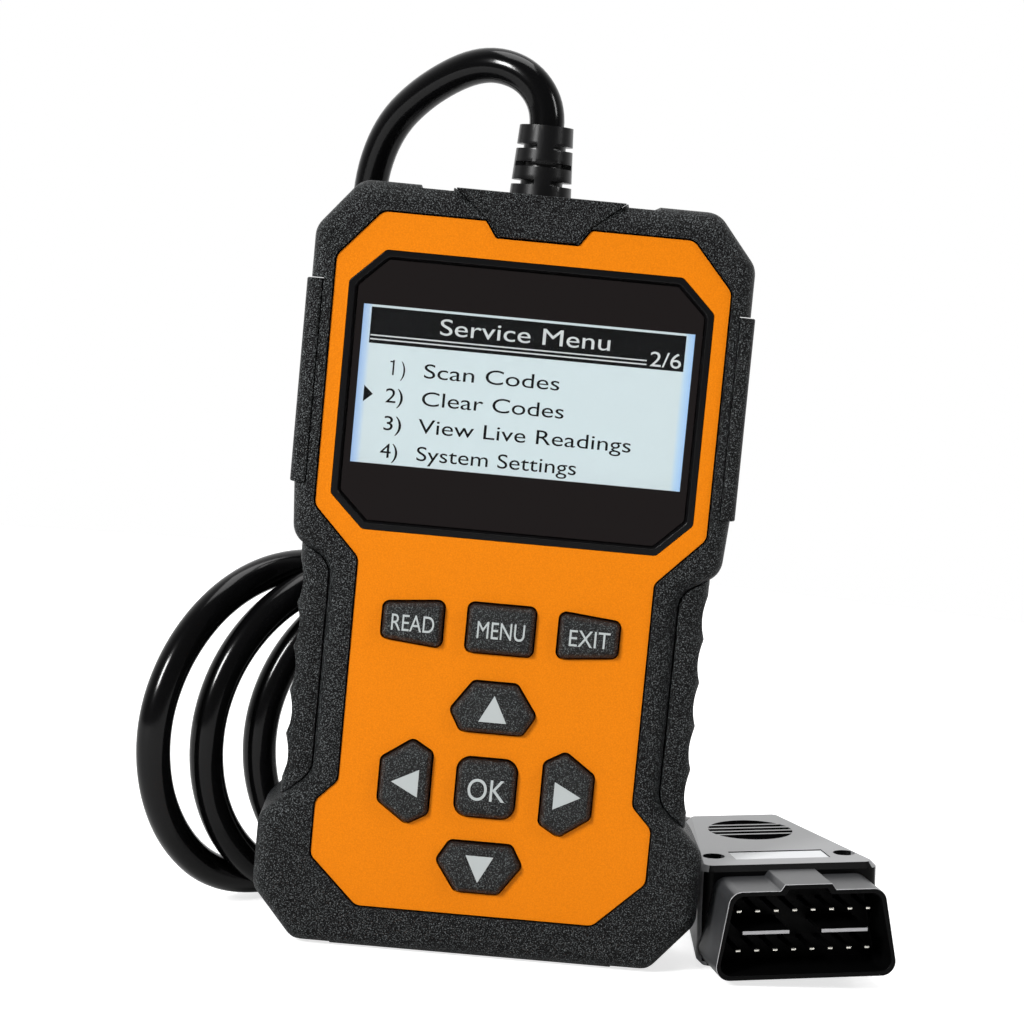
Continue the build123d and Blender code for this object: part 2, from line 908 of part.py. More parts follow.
def plug_shroud():
    """The connector's shroud with its floor and its two ribs."""
    outer = slab(shroud_face(0), 0, floor_of_shroud) + slab(tab_face(0), 0, shroud_length - snug)
    inner = slab(shroud_face(shroud_wall), 0, shroud_length)
    inner += slab(tab_face(shroud_wall), 0, shroud_length - snug)
    body = outer - inner
    for side in (1, -1):
        near, far = sorted((side * rib_inner, side * rib_outer))
        low = pin_rows_middle - rib_thickness / 2
        body += block(near, far, rib_recess, shroud_length, low, low + rib_thickness)
    for x, z in pin_places(-1) + pin_places(1):
        body -= block(
            x - pin_width / 2,
            x + pin_width / 2,
            shroud_length,
            floor_of_shroud,
            z - pin_thickness / 2,
            z + pin_thickness / 2,
        )
    return body


def pin_places(row):
    """The pins of the lower row (-1) or the upper row (1)."""
    height = pin_rows_middle + row * pin_row_spacing / 2
    return [((index - (pin_count - 1) / 2) * pin_pitch, height) for index in range(pin_count)]


def plug_pins(row):
    """One row of blades that pass through the shroud's floor towards the plug's board."""
    pins = []
    for x, z in pin_places(row):
        pins.append(
            block(
                x - pin_width / 2,
                x + pin_width / 2,
                pin_recess,
                floor_of_shroud + pin_tail,
                z - pin_thickness / 2,
                z + pin_thickness / 2,
            )
        )
    return group(pins)


def housing_plan(inset):
    """The housing's outline seen from above, moved inwards."""
    corners = [
        (housing_half_width - inset, shroud_length + inset, housing_radius),
        (housing_waist_half_width - inset, housing_waist, 12),
        (housing_rear_half_width - inset, housing_length - inset, 2.5),
    ]
    points = [(x, y) for x, y, r in corners] + [(-x, y) for x, y, r in reversed(corners)]
    radii = [r for x, y, r in corners] + [r for x, y, r in reversed(corners)]
    return make_face(FilletPolyline(*points, radius=radii, close=True))


def housing_half(z_from, z_to, roof, eased):
    """One half of the housing, hollow, with its roof or its floor."""
    half = extrude(Pos(0, 0, z_from) * housing_plan(0), amount=z_to - z_from)
    outer_face = half.faces().sort_by(Axis.Z)[-1 if roof else 0]
    half = chamfer(outer_face.edges(), eased)
    low = z_from if roof else z_from + housing_wall
    high = z_to - housing_wall if roof else z_to
    half -= extrude(Pos(0, 0, low) * housing_plan(housing_wall), amount=high - low)
    half -= slab(grown(shroud_face(0), snug), 0, floor_of_shroud)
    axis = Plane(origin=(0, housing_length + 1, housing_split), z_dir=(0, -1, 0))
    half -= extrude(axis * Circle(plug_relief_base_radius - 1 + snug), amount=housing_wall + 3)
    return half


def plug_screw_spots():
    x, y = plug_screw_place
    return [(x, y), (-x, y)]


def plug_lower_shell():
    half = housing_half(0, housing_split, False, housing_edge)
    for x, y in plug_screw_spots():
        half += upright(x, y, housing_wall, housing_split, plug_boss_radius)
        half -= upright(x, y, housing_wall + 1, housing_split, plug_screw_radius + thread_gap)
    return half


def plug_upper_shell():
    half = housing_half(housing_split, housing_height, True, housing_edge)
    seat = housing_height - plug_screw_sink
    for x, y in plug_screw_spots():
        half += upright(x, y, housing_split, housing_height - 0.5, plug_boss_radius)
        half -= upright(x, y, housing_split, seat, plug_screw_radius + plug_screw_play)
        half -= upright(x, y, seat, housing_height, plug_screw_head_radius + plug_screw_play)
    recess = upright(0, thumb_centre, housing_height - thumb_depth, housing_height, thumb_radius)
    half -= recess
    for index in range(thumb_rib_count):
        y = thumb_centre + (index - (thumb_rib_count - 1) / 2) * thumb_rib_pitch
        far = y + thumb_rib_width
        rib = block(-thumb_radius, thumb_radius, y, far, housing_height - thumb_depth, housing_height)
        half += rib & recess
    label = block(
        -label_half_width,
        label_half_width,
        label_near,
        label_far,
        housing_height - label_depth,
        housing_height,
    )
    return half - label


def plug_label():
    """A bare plate in the recess on top of the plug."""
    low = housing_height - label_depth
    return block(
        -label_half_width + snug,
        label_half_width - snug,
        label_near + snug,
        label_far - snug,
        low,
        low + label_thickness,
    )


def plug_screws():
    seat = housing_height - plug_screw_sink
    screws = []
    for x, y in plug_screw_spots():
        screw = upright(x, y, seat, seat + plug_screw_head_height, plug_screw_head_radius)
        screw += upright(x, y, housing_wall + 2, seat, plug_screw_radius)
        top = seat + plug_screw_head_height
        for a, b in ((recess_reach, recess_half), (recess_half, recess_reach)):
            screw -= block(x - a, x + a, y - b, y + b, top - recess_depth, top)
        screws.append(screw)
    return group(screws)


def plug_board():
    """The small board between the two rows of pins, resting on the shroud's floor."""
    low = housing_split - plug_board_thickness / 2
    return block(
        -plug_board_half_width,
        plug_board_half_width,
        floor_of_shroud,
        floor_of_shroud + plug_board_length,
        low,
        low + plug_board_thickness,
    )


def plug_relief():
    """The strain relief at the rear of the plug: a flange inside, a tapered sleeve outside."""
    def disc(y, radius):
        return Plane(origin=(0, y, housing_split), z_dir=(0, 1, 0)) * Circle(radius)

    inner_wall = housing_length - housing_wall
    flange_y = inner_wall - plug_relief_flange_thickness - snug
    flange = extrude(disc(flange_y, plug_relief_flange_radius), amount=plug_relief_flange_thickness)
    neck_length = housing_wall + snug
    neck = extrude(disc(inner_wall - snug, plug_relief_base_radius - 1), amount=neck_length)
    end = housing_length + plug_relief_length
    sleeve = loft([disc(housing_length, plug_relief_base_radius), disc(end, plug_relief_top_radius)])
    return flange + neck + sleeve


def plug_end():
    """Where the cord enters the plug's strain relief, and the point one run further out."""
    angle = math.radians(plug_yaw)
    points = []
    for distance in (0, plug_exit_run):
        reach = housing_length + plug_relief_length + distance
        x = plug_front[0] - reach * math.sin(angle)
        y = plug_front[1] + reach * math.cos(angle)
        points.append((x, y, plug_axis_height))
    return points


# --- Fasteners ----------------------------------------------------------------------------
def case_screws():
    seat = back_y - case_screw_sink
    screws = []
    for x, z in both_sides(case_screw_places):
        screw = post(x, z, seat, seat + case_screw_head_height, case_screw_head_radius)
        screw += post(x, z, split_y - case_screw_grip, seat, case_screw_radius)
        deep = seat + case_screw_head_height
        for a, b in ((recess_reach, recess_half), (recess_half, recess_reach)):
            screw -= block(x - a, x + a, deep - recess_depth, deep, z - b, z + b)
        screws.append(screw)
    return group(screws)


def board_screws():
    screws = []
    for x, z in both_sides(board_screw_places):
        top = board_back_y + board_screw_head_height
        screw = post(x, z, board_back_y, top, board_screw_head_radius)
        screws.append(screw + post(x, z, inside_y + 0.5, board_back_y, board_screw_radius))
    return group(screws)


# --- Build --------------------------------------------------------------------------------
save("front_shell", front_shell())
save("rear_shell", rear_shell())
plate = slab(plate_face(), plate_y, shelf_y) - slab(grown(window_face(0), snug), plate_y, shelf_y)
for key_face in key_faces.values():
    plate -= slab(grown(key_face, key_gap), plate_y, shelf_y)
save("face_plate", plate)
save("gland_cover", cover_block(0))
strip = strip_block()
save("side_strip_right", strip)
save("side_strip_left", mirror(strip, about=Plane.YZ))
grip = grip_block()
save("finger_grip_right", grip)
save("finger_grip_left", mirror(grip, about=Plane.YZ))

save("screen_bezel", screen_bezel())
lens_face = window_face(bezel_width + snug)
lens_y = shelf_y - mask_thickness - lens_thickness
save("screen_lens", slab(lens_face, lens_y, shelf_y - mask_thickness))
mask = slab(lens_face, shelf_y - mask_thickness, shelf_y)
save("screen_mask", mask - slab(view_face(0), shelf_y - mask_thickness, shelf_y))
save("lcd_panel", slab(view_face(panel_margin), panel_y, backlight_y))
save("lcd_backlight", slab(view_face(panel_margin), backlight_y, backlight_y + backlight_thickness))
save("lcd_frame", lcd_frame())
save("main_board", board())
board_parts()
save("keypad_mat", keypad_mat())
for key_name in key_faces:
    save(key_name, key_cap(key_name))
save("board_screws", board_screws())
save("case_screws", case_screws())

save("cable_gland", cable_gland())
sheath_top = ceiling - relief_flange_thickness - relief_flange_gap
save("cord_stub", upright(0, 0, sheath_top - sheath_length, sheath_top, cord_radius))
save("harness_wires", harness_wires())
cord_tube("cord_upper", upper_cord_route)
cord_tube("cord_lower", lower_cord_route + list(reversed(plug_end())))
save("cord_coil", cord_coil())

for plug_name, plug_piece in {
    "plug_shroud": plug_shroud(),
    "plug_pins_lower": plug_pins(-1),
    "plug_pins_upper": plug_pins(1),
    "plug_lower_shell": plug_lower_shell(),
    "plug_upper_shell": plug_upper_shell(),
    "plug_label": plug_label(),
    "plug_screws": plug_screws(),
    "plug_board": plug_board(),
    "plug_strain_relief": plug_relief(),
}.items():
    save(plug_name, plug_place * plug_piece)
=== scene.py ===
import math

import bpy
from mathutils import Matrix, Vector


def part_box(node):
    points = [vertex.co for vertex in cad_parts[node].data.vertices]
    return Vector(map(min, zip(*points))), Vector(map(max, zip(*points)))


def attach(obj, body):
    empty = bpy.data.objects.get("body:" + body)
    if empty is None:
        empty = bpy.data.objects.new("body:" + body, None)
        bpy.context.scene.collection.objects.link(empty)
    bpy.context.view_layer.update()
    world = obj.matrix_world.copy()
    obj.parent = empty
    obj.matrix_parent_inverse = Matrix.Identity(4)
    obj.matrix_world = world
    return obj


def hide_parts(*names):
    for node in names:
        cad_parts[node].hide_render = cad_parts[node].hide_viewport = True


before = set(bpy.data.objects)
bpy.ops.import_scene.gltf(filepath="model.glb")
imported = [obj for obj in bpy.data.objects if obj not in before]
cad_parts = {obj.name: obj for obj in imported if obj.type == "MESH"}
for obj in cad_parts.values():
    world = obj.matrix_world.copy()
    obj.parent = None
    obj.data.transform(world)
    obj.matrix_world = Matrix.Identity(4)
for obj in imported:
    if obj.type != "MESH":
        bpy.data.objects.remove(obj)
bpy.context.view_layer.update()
MM = 0.001


# --- Camera -------------------------------------------------------------------------------
def add_camera():
    """A long lens a little above the handset, leaning so that the handset leans with it."""
    azimuth, pitch, roll = math.radians(-1.5), math.radians(5.0), math.radians(5.42)
    target = Vector((0, -14, 93.9)) * MM
    distance = 512.4 * MM
    back = Vector(
        (math.sin(azimuth) * math.cos(pitch), -math.cos(azimuth) * math.cos(pitch), math.sin(pitch))
    )
    forward = -back
    level_right = forward.cross(Vector((0, 0, 1))).normalized()
    level_up = level_right.cross(forward)
    right = level_right * math.cos(roll) + level_up * math.sin(roll)
    up = level_up * math.cos(roll) - level_right * math.sin(roll)
    data = bpy.data.cameras.new("studio_camera")
    data.sensor_width = 36
    data.lens = 87.890625
    data.clip_start = 0.01
    camera = bpy.data.objects.new("studio_camera", data)
    bpy.context.scene.collection.objects.link(camera)
    place = target + back * distance
    camera.matrix_world = Matrix(
        (
            (right.x, up.x, back.x, place.x),
            (right.y, up.y, back.y, place.y),
            (right.z, up.z, back.z, place.z),
            (0, 0, 0, 1),
        )
    )
    bpy.context.scene.camera = camera


add_camera()

# --- Cord ---------------------------------------------------------------------------------
# Lengths are in millimetres and angles in degrees, unless a comment says otherwise.
CORD_RADIUS = 3.65
COIL_RADIUS = 35.3
COIL_FIRST_ANGLE = 130.0
COIL_LAST_ANGLE = 991
COIL_TURNS = 2.0
COIL_FIRST_YAW = 24
COIL_YAW_PER_TURN = 12
# Control points in one turn of the coil.
TURN_STEPS = 16
RELIEF_TOP = 173.3
FLOOR_GAP = 0.05

over_the_top = [
    (0.0, 0.0, RELIEF_TOP),
    (0.0, 0.0, RELIEF_TOP + 4.5),
    (-5.5, 1.5, RELIEF_TOP + 11.0),
    (-14.7, 5.8, RELIEF_TOP + 12.6),
    (-25.7, 14.5, RELIEF_TOP + 6.7),
    (-34.0, 22.5, RELIEF_TOP - 2.4),
    (-37.2, 27.0, RELIEF_TOP - 17.0),
    (-34.5, 30.5, 131.0),
    (-28.5, 31.5, 105.0),
    (-29.0, 26.8, 81.5),
]
along_the_surface = [
    (-37.5, 38.5, 3.7),
    (-29.5, 58.5, 3.7),
    (-21.6, 80.2, 3.7),
    (-6.2, 98.6, 3.7),
    (16.5, 106.0, 4.2),
    (41.0, 98.0, 7.2),
]
plug_front = Vector((69.5, -15.0))
plug_yaw = math.radians(9.0)
plug_roll = math.radians(4.5)
PLUG_HOUSING_LENGTH = 62
PLUG_RELIEF_LENGTH = 14
PLUG_LENGTH = PLUG_HOUSING_LENGTH + PLUG_RELIEF_LENGTH
PLUG_HALF_WIDTH = 20.2
PLUG_SPLIT = 11
PLUG_EXIT_RUN = 16
# The plug leans on one lower edge, which lifts its axis.
PLUG_AXIS_HEIGHT = PLUG_HALF_WIDTH * math.sin(plug_roll) + PLUG_SPLIT * math.cos(plug_roll)
plug_turn = Matrix.Rotation(plug_yaw, 4, "Z") @ Matrix.Rotation(-plug_roll, 4, "Y")
plug_place = (
    Matrix.Translation((plug_front.x, plug_front.y, PLUG_AXIS_HEIGHT))
    @ plug_turn
    @ Matrix.Translation((0, 0, -PLUG_SPLIT))
)


def coil_points():
    """Loose turns that lean away from the handset, from near the top of the first to a foot."""
    near_left, far_left = Vector((-49.3, 15.5)), Vector((-70.8, 0.0))
    reach = COIL_RADIUS / math.cos(math.pi / TURN_STEPS)
    points = []
    step = 360 / TURN_STEPS
    angle = COIL_FIRST_ANGLE
    while angle < COIL_LAST_ANGLE:
        # Turns are counted where the cord passes the coil's left side.
        turn = min((angle - 180) / 360, COIL_TURNS)
        left = near_left.lerp(far_left, turn / COIL_TURNS)
        yaw = math.radians(COIL_FIRST_YAW + COIL_YAW_PER_TURN * turn)
        along = Vector((math.cos(yaw), math.sin(yaw)))
        centre = left + along * COIL_RADIUS
        side = math.cos(math.radians(angle)) * reach
        height = CORD_RADIUS + COIL_RADIUS + math.sin(math.radians(angle)) * reach
        place = centre + along * side
        points.append((place.x, place.y, max(height, CORD_RADIUS + FLOOR_GAP)))
        angle += step
    return points


def plug_end_points():
    """The straight run into the plug's strain relief, furthest point first."""
    points = []
    for reach in (PLUG_LENGTH + PLUG_EXIT_RUN, PLUG_LENGTH):
        x = plug_front.x - reach * math.sin(plug_yaw)
        y = plug_front.y + reach * math.cos(plug_yaw)
        points.append((x, y, PLUG_AXIS_HEIGHT))
    return points


def add_cord():
    """A tube along one smooth line, and the points that the tube follows."""
    route = over_the_top + coil_points() + along_the_surface + plug_end_points()
    line = bpy.data.curves.new("reader_cord", "CURVE")
    line.dimensions = "3D"
    spline = line.splines.new("NURBS")
    spline.points.add(len(route) - 1)
    for point, place in zip(spline.points, route):
        point.co = (place[0] * MM, place[1] * MM, place[2] * MM, 1)
    spline.order_u = 3
    spline.use_endpoint_u = True
    spline.resolution_u = 8
    cord = bpy.data.objects.new("reader_cord", line)
    bpy.context.scene.collection.objects.link(cord)
    bpy.context.view_layer.update()
    shaped = bpy.context.evaluated_depsgraph_get()
    bare = bpy.data.meshes.new_from_object(cord.evaluated_get(shaped))
    path = [tuple(vertex.co) for vertex in bare.vertices]
    line.bevel_depth = CORD_RADIUS * MM
    line.bevel_resolution = 8
    line.use_fill_caps = True
    bpy.ops.object.select_all(action="DESELECT")
    cord.select_set(True)
    bpy.context.view_layer.objects.active = cord
    bpy.ops.object.convert(target="MESH")
    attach(cord, "handset")
    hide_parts("cord_upper", "cord_coil", "cord_lower")
    return cord, path


cord, cord_path = add_cord()


# --- Working with pieces ------------------------------------------------------------------
def pick_only(piece):
    """Nothing but this piece is selected, and it is active."""
    bpy.ops.object.select_all(action="DESELECT")
    piece.select_set(True)
    bpy.context.view_layer.objects.active = piece


def paint(piece, material):
    piece.data.materials.clear()
    piece.data.materials.append(material)


def settle(piece):
    """The piece's place goes into its mesh."""
    pick_only(piece)
    bpy.ops.object.transform_apply(location=True, rotation=True, scale=True)


def rounded_copy(node, name, edge, segments=2, angle=28, shaped=None):
    """A merged copy of a CAD node, shaped if asked and with its edges rounded, which takes the
    node's place."""
    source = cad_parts[node]
    piece = bpy.data.objects.new(name, source.data.copy())
    bpy.context.scene.collection.objects.link(piece)
    pick_only(piece)
    bpy.ops.mesh.customdata_custom_splitnormals_clear()
    bpy.ops.object.mode_set(mode="EDIT")
    bpy.ops.mesh.select_all(action="SELECT")
    bpy.ops.mesh.remove_doubles(threshold=2e-6)
    bpy.ops.mesh.dissolve_limited(angle_limit=math.radians(0.4))
    bpy.ops.object.mode_set(mode="OBJECT")
    if shaped:
        shaped(piece)
    bevel = piece.modifiers.new("edge", "BEVEL")
    bevel.width = edge * MM
    bevel.segments = segments
    bevel.limit_method = "ANGLE"
    bevel.angle_limit = math.radians(angle)
    bevel.use_clamp_overlap = True
    bpy.ops.object.modifier_apply(modifier="edge")
    bpy.ops.object.shade_smooth_by_angle(angle=math.radians(35))
    even = piece.modifiers.new("even", "WEIGHTED_NORMAL")
    even.keep_sharp = True
    bpy.ops.object.modifier_apply(modifier="even")
    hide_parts(node)
    return piece


def swollen(piece, growth):
    """The piece grows along its normals, which closes the fine gap round a soft pad."""
    pick_only(piece)
    bpy.ops.object.mode_set(mode="EDIT")
    bpy.ops.mesh.select_all(action="SELECT")
    bpy.ops.transform.shrink_fatten(value=growth * MM)
    bpy.ops.object.mode_set(mode="OBJECT")


def paint_plug_light(piece, material, wanted):
    """Faces of a plug piece get a second material, painted shade or a painted highlight, where
    their middle and normal, as the plug sees them with its mouth at y 0 and its foot at z 0, are
    wanted."""
    piece.data.materials.append(material)
    for face in piece.data.polygons:
        middle = plug_place.inverted() @ (face.center / MM)
        normal = plug_turn.inverted() @ face.normal
        if wanted(middle, normal):
            face.material_index = len(piece.data.materials) - 1


def upright_words(words, name, cap_height, x, z, y, raised, width=None, align="CENTER", bold=0.0):
    """Printed words that face the user, standing on height z, raised from depth y."""
    bpy.ops.object.select_all(action="DESELECT")
    bpy.ops.object.text_add(location=(0, 0, 0))
    piece = bpy.context.object
    piece.name = name
    piece.data.body = words
    piece.data.align_x = align
    piece.data.extrude = raised * MM / 2
    piece.data.offset = bold * MM
    piece.data.size = cap_height * MM / 0.729
    piece.data.resolution_u = 6
    bpy.ops.object.convert(target="MESH")
    piece = bpy.context.object
    if width:
        piece.scale.x = width * MM / piece.dimensions.x
    piece.rotation_euler = (math.radians(90), 0, 0)
    piece.location = (x * MM, (y - raised / 2) * MM, z * MM)
    settle(piece)
    return piece


def upright_plate(name, x_low, x_high, z_low, z_high, y, raised):
    """A thin plate that faces the user, raised from depth y."""
    bpy.ops.object.select_all(action="DESELECT")
    bpy.ops.mesh.primitive_cube_add(size=1)
    piece = bpy.context.object
    piece.name = name
    piece.scale = ((x_high - x_low) * MM, raised * MM, (z_high - z_low) * MM)
    piece.location = ((x_low + x_high) / 2 * MM, (y - raised / 2) * MM, (z_low + z_high) / 2 * MM)
    settle(piece)
    return piece


def upright_triangle(name, x, z, y, width, height, turn, raised):
    """A printed triangle that faces the user. It points up, then it is turned clockwise."""
    bpy.ops.object.select_all(action="DESELECT")
    radius = height / 1.5
    bpy.ops.mesh.primitive_circle_add(vertices=3, radius=radius * MM, fill_type="NGON")
    piece = bpy.context.object
    piece.name = name
    bpy.ops.object.mode_set(mode="EDIT")
    bpy.ops.mesh.select_all(action="SELECT")
    bpy.ops.mesh.extrude_region_move(TRANSFORM_OT_translate={"value": (0, 0, raised * MM)})
    bpy.ops.mesh.select_all(action="SELECT")
    bpy.ops.mesh.normals_make_consistent(inside=False)
    bpy.ops.object.mode_set(mode="OBJECT")
    # The triangle in a circle of radius 1 is the root of three wide, and its middle is low.
    piece.scale = (width / (radius * math.sqrt(3)), 1, 1)
    settle(piece)
    piece.location = (0, -height * MM / 6, 0)
    settle(piece)
    piece.rotation_euler = (0, 0, -math.radians(turn))
    settle(piece)
    piece.rotation_euler = (math.radians(90), 0, 0)
    piece.location = (x * MM, y * MM, z * MM)
    settle(piece)
    return piece


# --- Finishes -----------------------------------------------------------------------------
def grain_group():
    """Moulded grain: pebbles of one size, each of its own height, with a finer grain over them."""
    group = bpy.data.node_groups.new("moulded_grain", "ShaderNodeTree")
    sockets = group.interface
    size = sockets.new_socket("Pebbles", in_out="INPUT", socket_type="NodeSocketFloat")
    size.default_value = 1500
    relief = sockets.new_socket("Relief", in_out="INPUT", socket_type="NodeSocketFloat")
    relief.default_value = 0.6
    sockets.new_socket("Normal", in_out="OUTPUT", socket_type="NodeSocketVector")
    sockets.new_socket("Height", in_out="OUTPUT", socket_type="NodeSocketFloat")
    nodes, links = group.nodes, group.links
    entry = nodes.new("NodeGroupInput")
    leave = nodes.new("NodeGroupOutput")
    place = nodes.new("ShaderNodeTexCoord")
    pebbles = nodes.new("ShaderNodeTexVoronoi")
    pebbles.feature = "SMOOTH_F1"
    pebbles.inputs["Smoothness"].default_value = 0.35
    wander = nodes.new("ShaderNodeTexNoise")
    wander.inputs["Detail"].default_value = 4
    wander.inputs["Roughness"].default_value = 0.65
    # Height is the noise less the distance to the nearest pebble's middle.
    drop = nodes.new("ShaderNodeMath")
    drop.operation = "MULTIPLY_ADD"
    drop.inputs[1].default_value = -0.3
    bump = nodes.new("ShaderNodeBump")
    bump.inputs["Distance"].default_value = 0.0003
    links.new(place.outputs["Object"], pebbles.inputs["Vector"])
    links.new(place.outputs["Object"], wander.inputs["Vector"])
    links.new(entry.outputs["Pebbles"], pebbles.inputs["Scale"])
    links.new(entry.outputs["Pebbles"], wander.inputs["Scale"])
    links.new(pebbles.outputs["Distance"], drop.inputs[0])
    links.new(wander.outputs["Fac"], drop.inputs[2])
    links.new(drop.outputs[0], bump.inputs["Height"])
    links.new(entry.outputs["Relief"], bump.inputs["Strength"])
    links.new(bump.outputs["Normal"], leave.inputs["Normal"])
    links.new(drop.outputs[0], leave.inputs["Height"])
    return group


moulded_grain = grain_group()


def finish_of(name, color, roughness, specular=0.5, pebbles=None, relief=0.5, metallic=0.0):
    """A plain or grained surface."""
    material = bpy.data.materials.new(name)
    material.use_nodes = True
    nodes, links = material.node_tree.nodes, material.node_tree.links
    shader = nodes["Principled BSDF"]
    shader.inputs["Base Color"].default_value = (*color, 1)
    shader.inputs["Roughness"].default_value = roughness
    shader.inputs["Specular IOR Level"].default_value = specular
    shader.inputs["Metallic"].default_value = metallic
    if pebbles:
        grain = nodes.new("ShaderNodeGroup")
        grain.node_tree = moulded_grain
        grain.name = "grain"
        grain.inputs["Pebbles"].default_value = pebbles
        grain.inputs["Relief"].default_value = relief
        links.new(grain.outputs["Normal"], shader.inputs["Normal"])
    return material


def tint_and_glint_by_grain(material, low_color, high_color, low=-0.1, high=0.5):
    """The base colour follows the grain's height between two heights. Where the high colour is far
    lighter, as on the black finishes, the raised tips carry painted glints.
    """
    nodes, links = material.node_tree.nodes, material.node_tree.links
    spread = nodes.new("ShaderNodeMapRange")
    spread.inputs["From Min"].default_value = low
    spread.inputs["From Max"].default_value = high
    blend = nodes.new("ShaderNodeMix")
    blend.data_type = "RGBA"
    blend.inputs["A"].default_value = (*low_color, 1)
    blend.inputs["B"].default_value = (*high_color, 1)
    links.new(nodes["grain"].outputs["Height"], spread.inputs["Value"])
    links.new(spread.outputs["Result"], blend.inputs["Factor"])
    links.new(blend.outputs["Result"], nodes["Principled BSDF"].inputs["Base Color"])


# Painted glints: on the black finishes the grain's raised tips are painted far lighter than its
# hollows; on the orange they are only a little lighter.
black_housing = finish_of("black_housing", (0.022, 0.022, 0.024), 0.36, 0.12, 3500, 1.0)
tint_and_glint_by_grain(black_housing, (0.0006, 0.0006, 0.0008), (0.2, 0.217, 0.221), 0.37, 0.62)
orange_face = finish_of("orange_face", (0.72, 0.2, 0.002), 0.5, 0.1, 3200, 0.16)
tint_and_glint_by_grain(orange_face, (0.63, 0.165, 0.001), (0.74, 0.205, 0.002), 0.2, 0.6)
rim_black = finish_of("rim_black", (0.003, 0.003, 0.0033), 0.3, 0.2)
charcoal_key = finish_of("charcoal_key", (0.02, 0.021, 0.022), 0.36, 0.26, 3500, 1.0)
tint_and_glint_by_grain(charcoal_key, (0.0008, 0.0008, 0.001), (0.175, 0.198, 0.2), 0.37, 0.62)
# Painted shade: a darker copy of the key finish for the caps' sides.
shaded_key_side = finish_of("shaded_key_side", (0.01, 0.01, 0.01), 0.36, 0.15, 3500, 1.0)
tint_and_glint_by_grain(shaded_key_side, (0.0006, 0.0006, 0.0008), (0.03, 0.034, 0.035), 0.37, 0.62)
jacket_black = finish_of("jacket_black", (0.002, 0.002, 0.0022), 0.15, 0.22)
relief_black = finish_of("relief_black", (0.003, 0.003, 0.0033), 0.3, 0.35)
plug_grey = finish_of("plug_grey", (0.2, 0.202, 0.208), 0.34, 0.5, 3500, 0.04)
# Painted light: the upper shell takes a slightly lighter and glossier copy of the plug grey, for
# its top that the light falls on.
painted_lit_lid_grey = finish_of("painted_lit_lid_grey", (0.21, 0.212, 0.217), 0.3, 0.7, 3500, 0.04)
shroud_grey = finish_of("shroud_grey", (0.033, 0.034, 0.036), 0.3, 0.5)
# Painted shade: a near-black copy of the plug plastic, for plug faces that sit in shadow.
painted_shade_black = finish_of("painted_shade_black", (0.0015, 0.0015, 0.0016), 0.4, 0.08)
pin_metal = finish_of("pin_metal", (0.9, 0.88, 0.8), 0.25, 0.5, metallic=1.0)
bare_label = finish_of("bare_label", (0.6, 0.61, 0.62), 0.5)
# Painted highlight: a light grey for the thin lit edges of the plug's rib and rim.
painted_highlight_grey = finish_of("painted_highlight_grey", (0.34, 0.34, 0.35), 0.4)
screw_steel = finish_of("screw_steel", (0.5, 0.5, 0.51), 0.35, metallic=1.0)
legend_grey = finish_of("legend_grey", (0.4, 0.43, 0.43), 0.55, 0.2)
glowing_mask = finish_of("glowing_mask", (0.045, 0.038, 0.038), 0.3, 0.2)
# Painted light: the mask glows faintly in place of the light that the clear window above it keeps
# out.
mask_glow_shader = glowing_mask.node_tree.nodes["Principled BSDF"]
mask_glow_shader.inputs["Emission Color"].default_value = (0.0115, 0.0092, 0.0092, 1)
mask_glow_shader.inputs["Emission Strength"].default_value = 1.0
screen_ink = finish_of("screen_ink", (0.004, 0.005, 0.006), 0.6, 0.1)
green_board = finish_of("green_board", (0.03, 0.2, 0.08), 0.4)
mat_grey = finish_of("mat_grey", (0.35, 0.36, 0.37), 0.6)


def glowing(name, color, strength):
    """A lit part of the display."""
    material = finish_of(name, [part * 0.25 for part in color], 0.6, 0.1)
    shader = material.node_tree.nodes["Principled BSDF"]
    shader.inputs["Emission Color"].default_value = (*color, 1)
    shader.inputs["Emission Strength"].default_value = strength
    return material


def lit_panel():
    """The lit display: pale all over, a little bluer along its two short edges."""
    material = glowing("lit_panel", (0.53, 0.62, 0.64), 1.12)
    nodes, links = material.node_tree.nodes, material.node_tree.links
    shader = nodes["Principled BSDF"]
    place = nodes.new("ShaderNodeTexCoord")
    parts = nodes.new("ShaderNodeSeparateXYZ")
    spread = nodes.new("ShaderNodeMapRange")
    spread.inputs["From Min"].default_value = -0.034
    spread.inputs["From Max"].default_value = 0.034
    ramp = nodes.new("ShaderNodeValToRGB")
    stops = ramp.color_ramp.elements
    stops[0].position = 0.0
    stops[0].color = (0.3, 0.46, 0.72, 1)
    stops[1].position = 1.0
    stops[1].color = (0.3, 0.5, 0.78, 1)
    for position, color in (
        (0.016, (0.4, 0.55, 0.74, 1)),
        (0.028, (0.53, 0.62, 0.64, 1)),
        (0.97, (0.53, 0.62, 0.64, 1)),
        (0.983, (0.4, 0.57, 0.74, 1)),
    ):
        stop = stops.new(position)
        stop.color = color
    links.new(place.outputs["Object"], parts.inputs["Vector"])
    links.new(parts.outputs["X"], spread.inputs["Value"])
    links.new(spread.outputs["Result"], ramp.inputs["Fac"])
    links.new(ramp.outputs["Color"], shader.inputs["Emission Color"])
    return material


def clear_window():
    """The clear window over the display."""
    material = finish_of("clear_window", (1, 1, 1), 0.03, 0.5)
    shader = material.node_tree.nodes["Principled BSDF"]
    shader.inputs["Transmission Weight"].default_value = 1.0
    shader.inputs["IOR"].default_value = 1.46
    return material


paint(cord, jacket_black)

# --- Handset ------------------------------------------------------------------------------
GRIP_GROWTH = 0.25

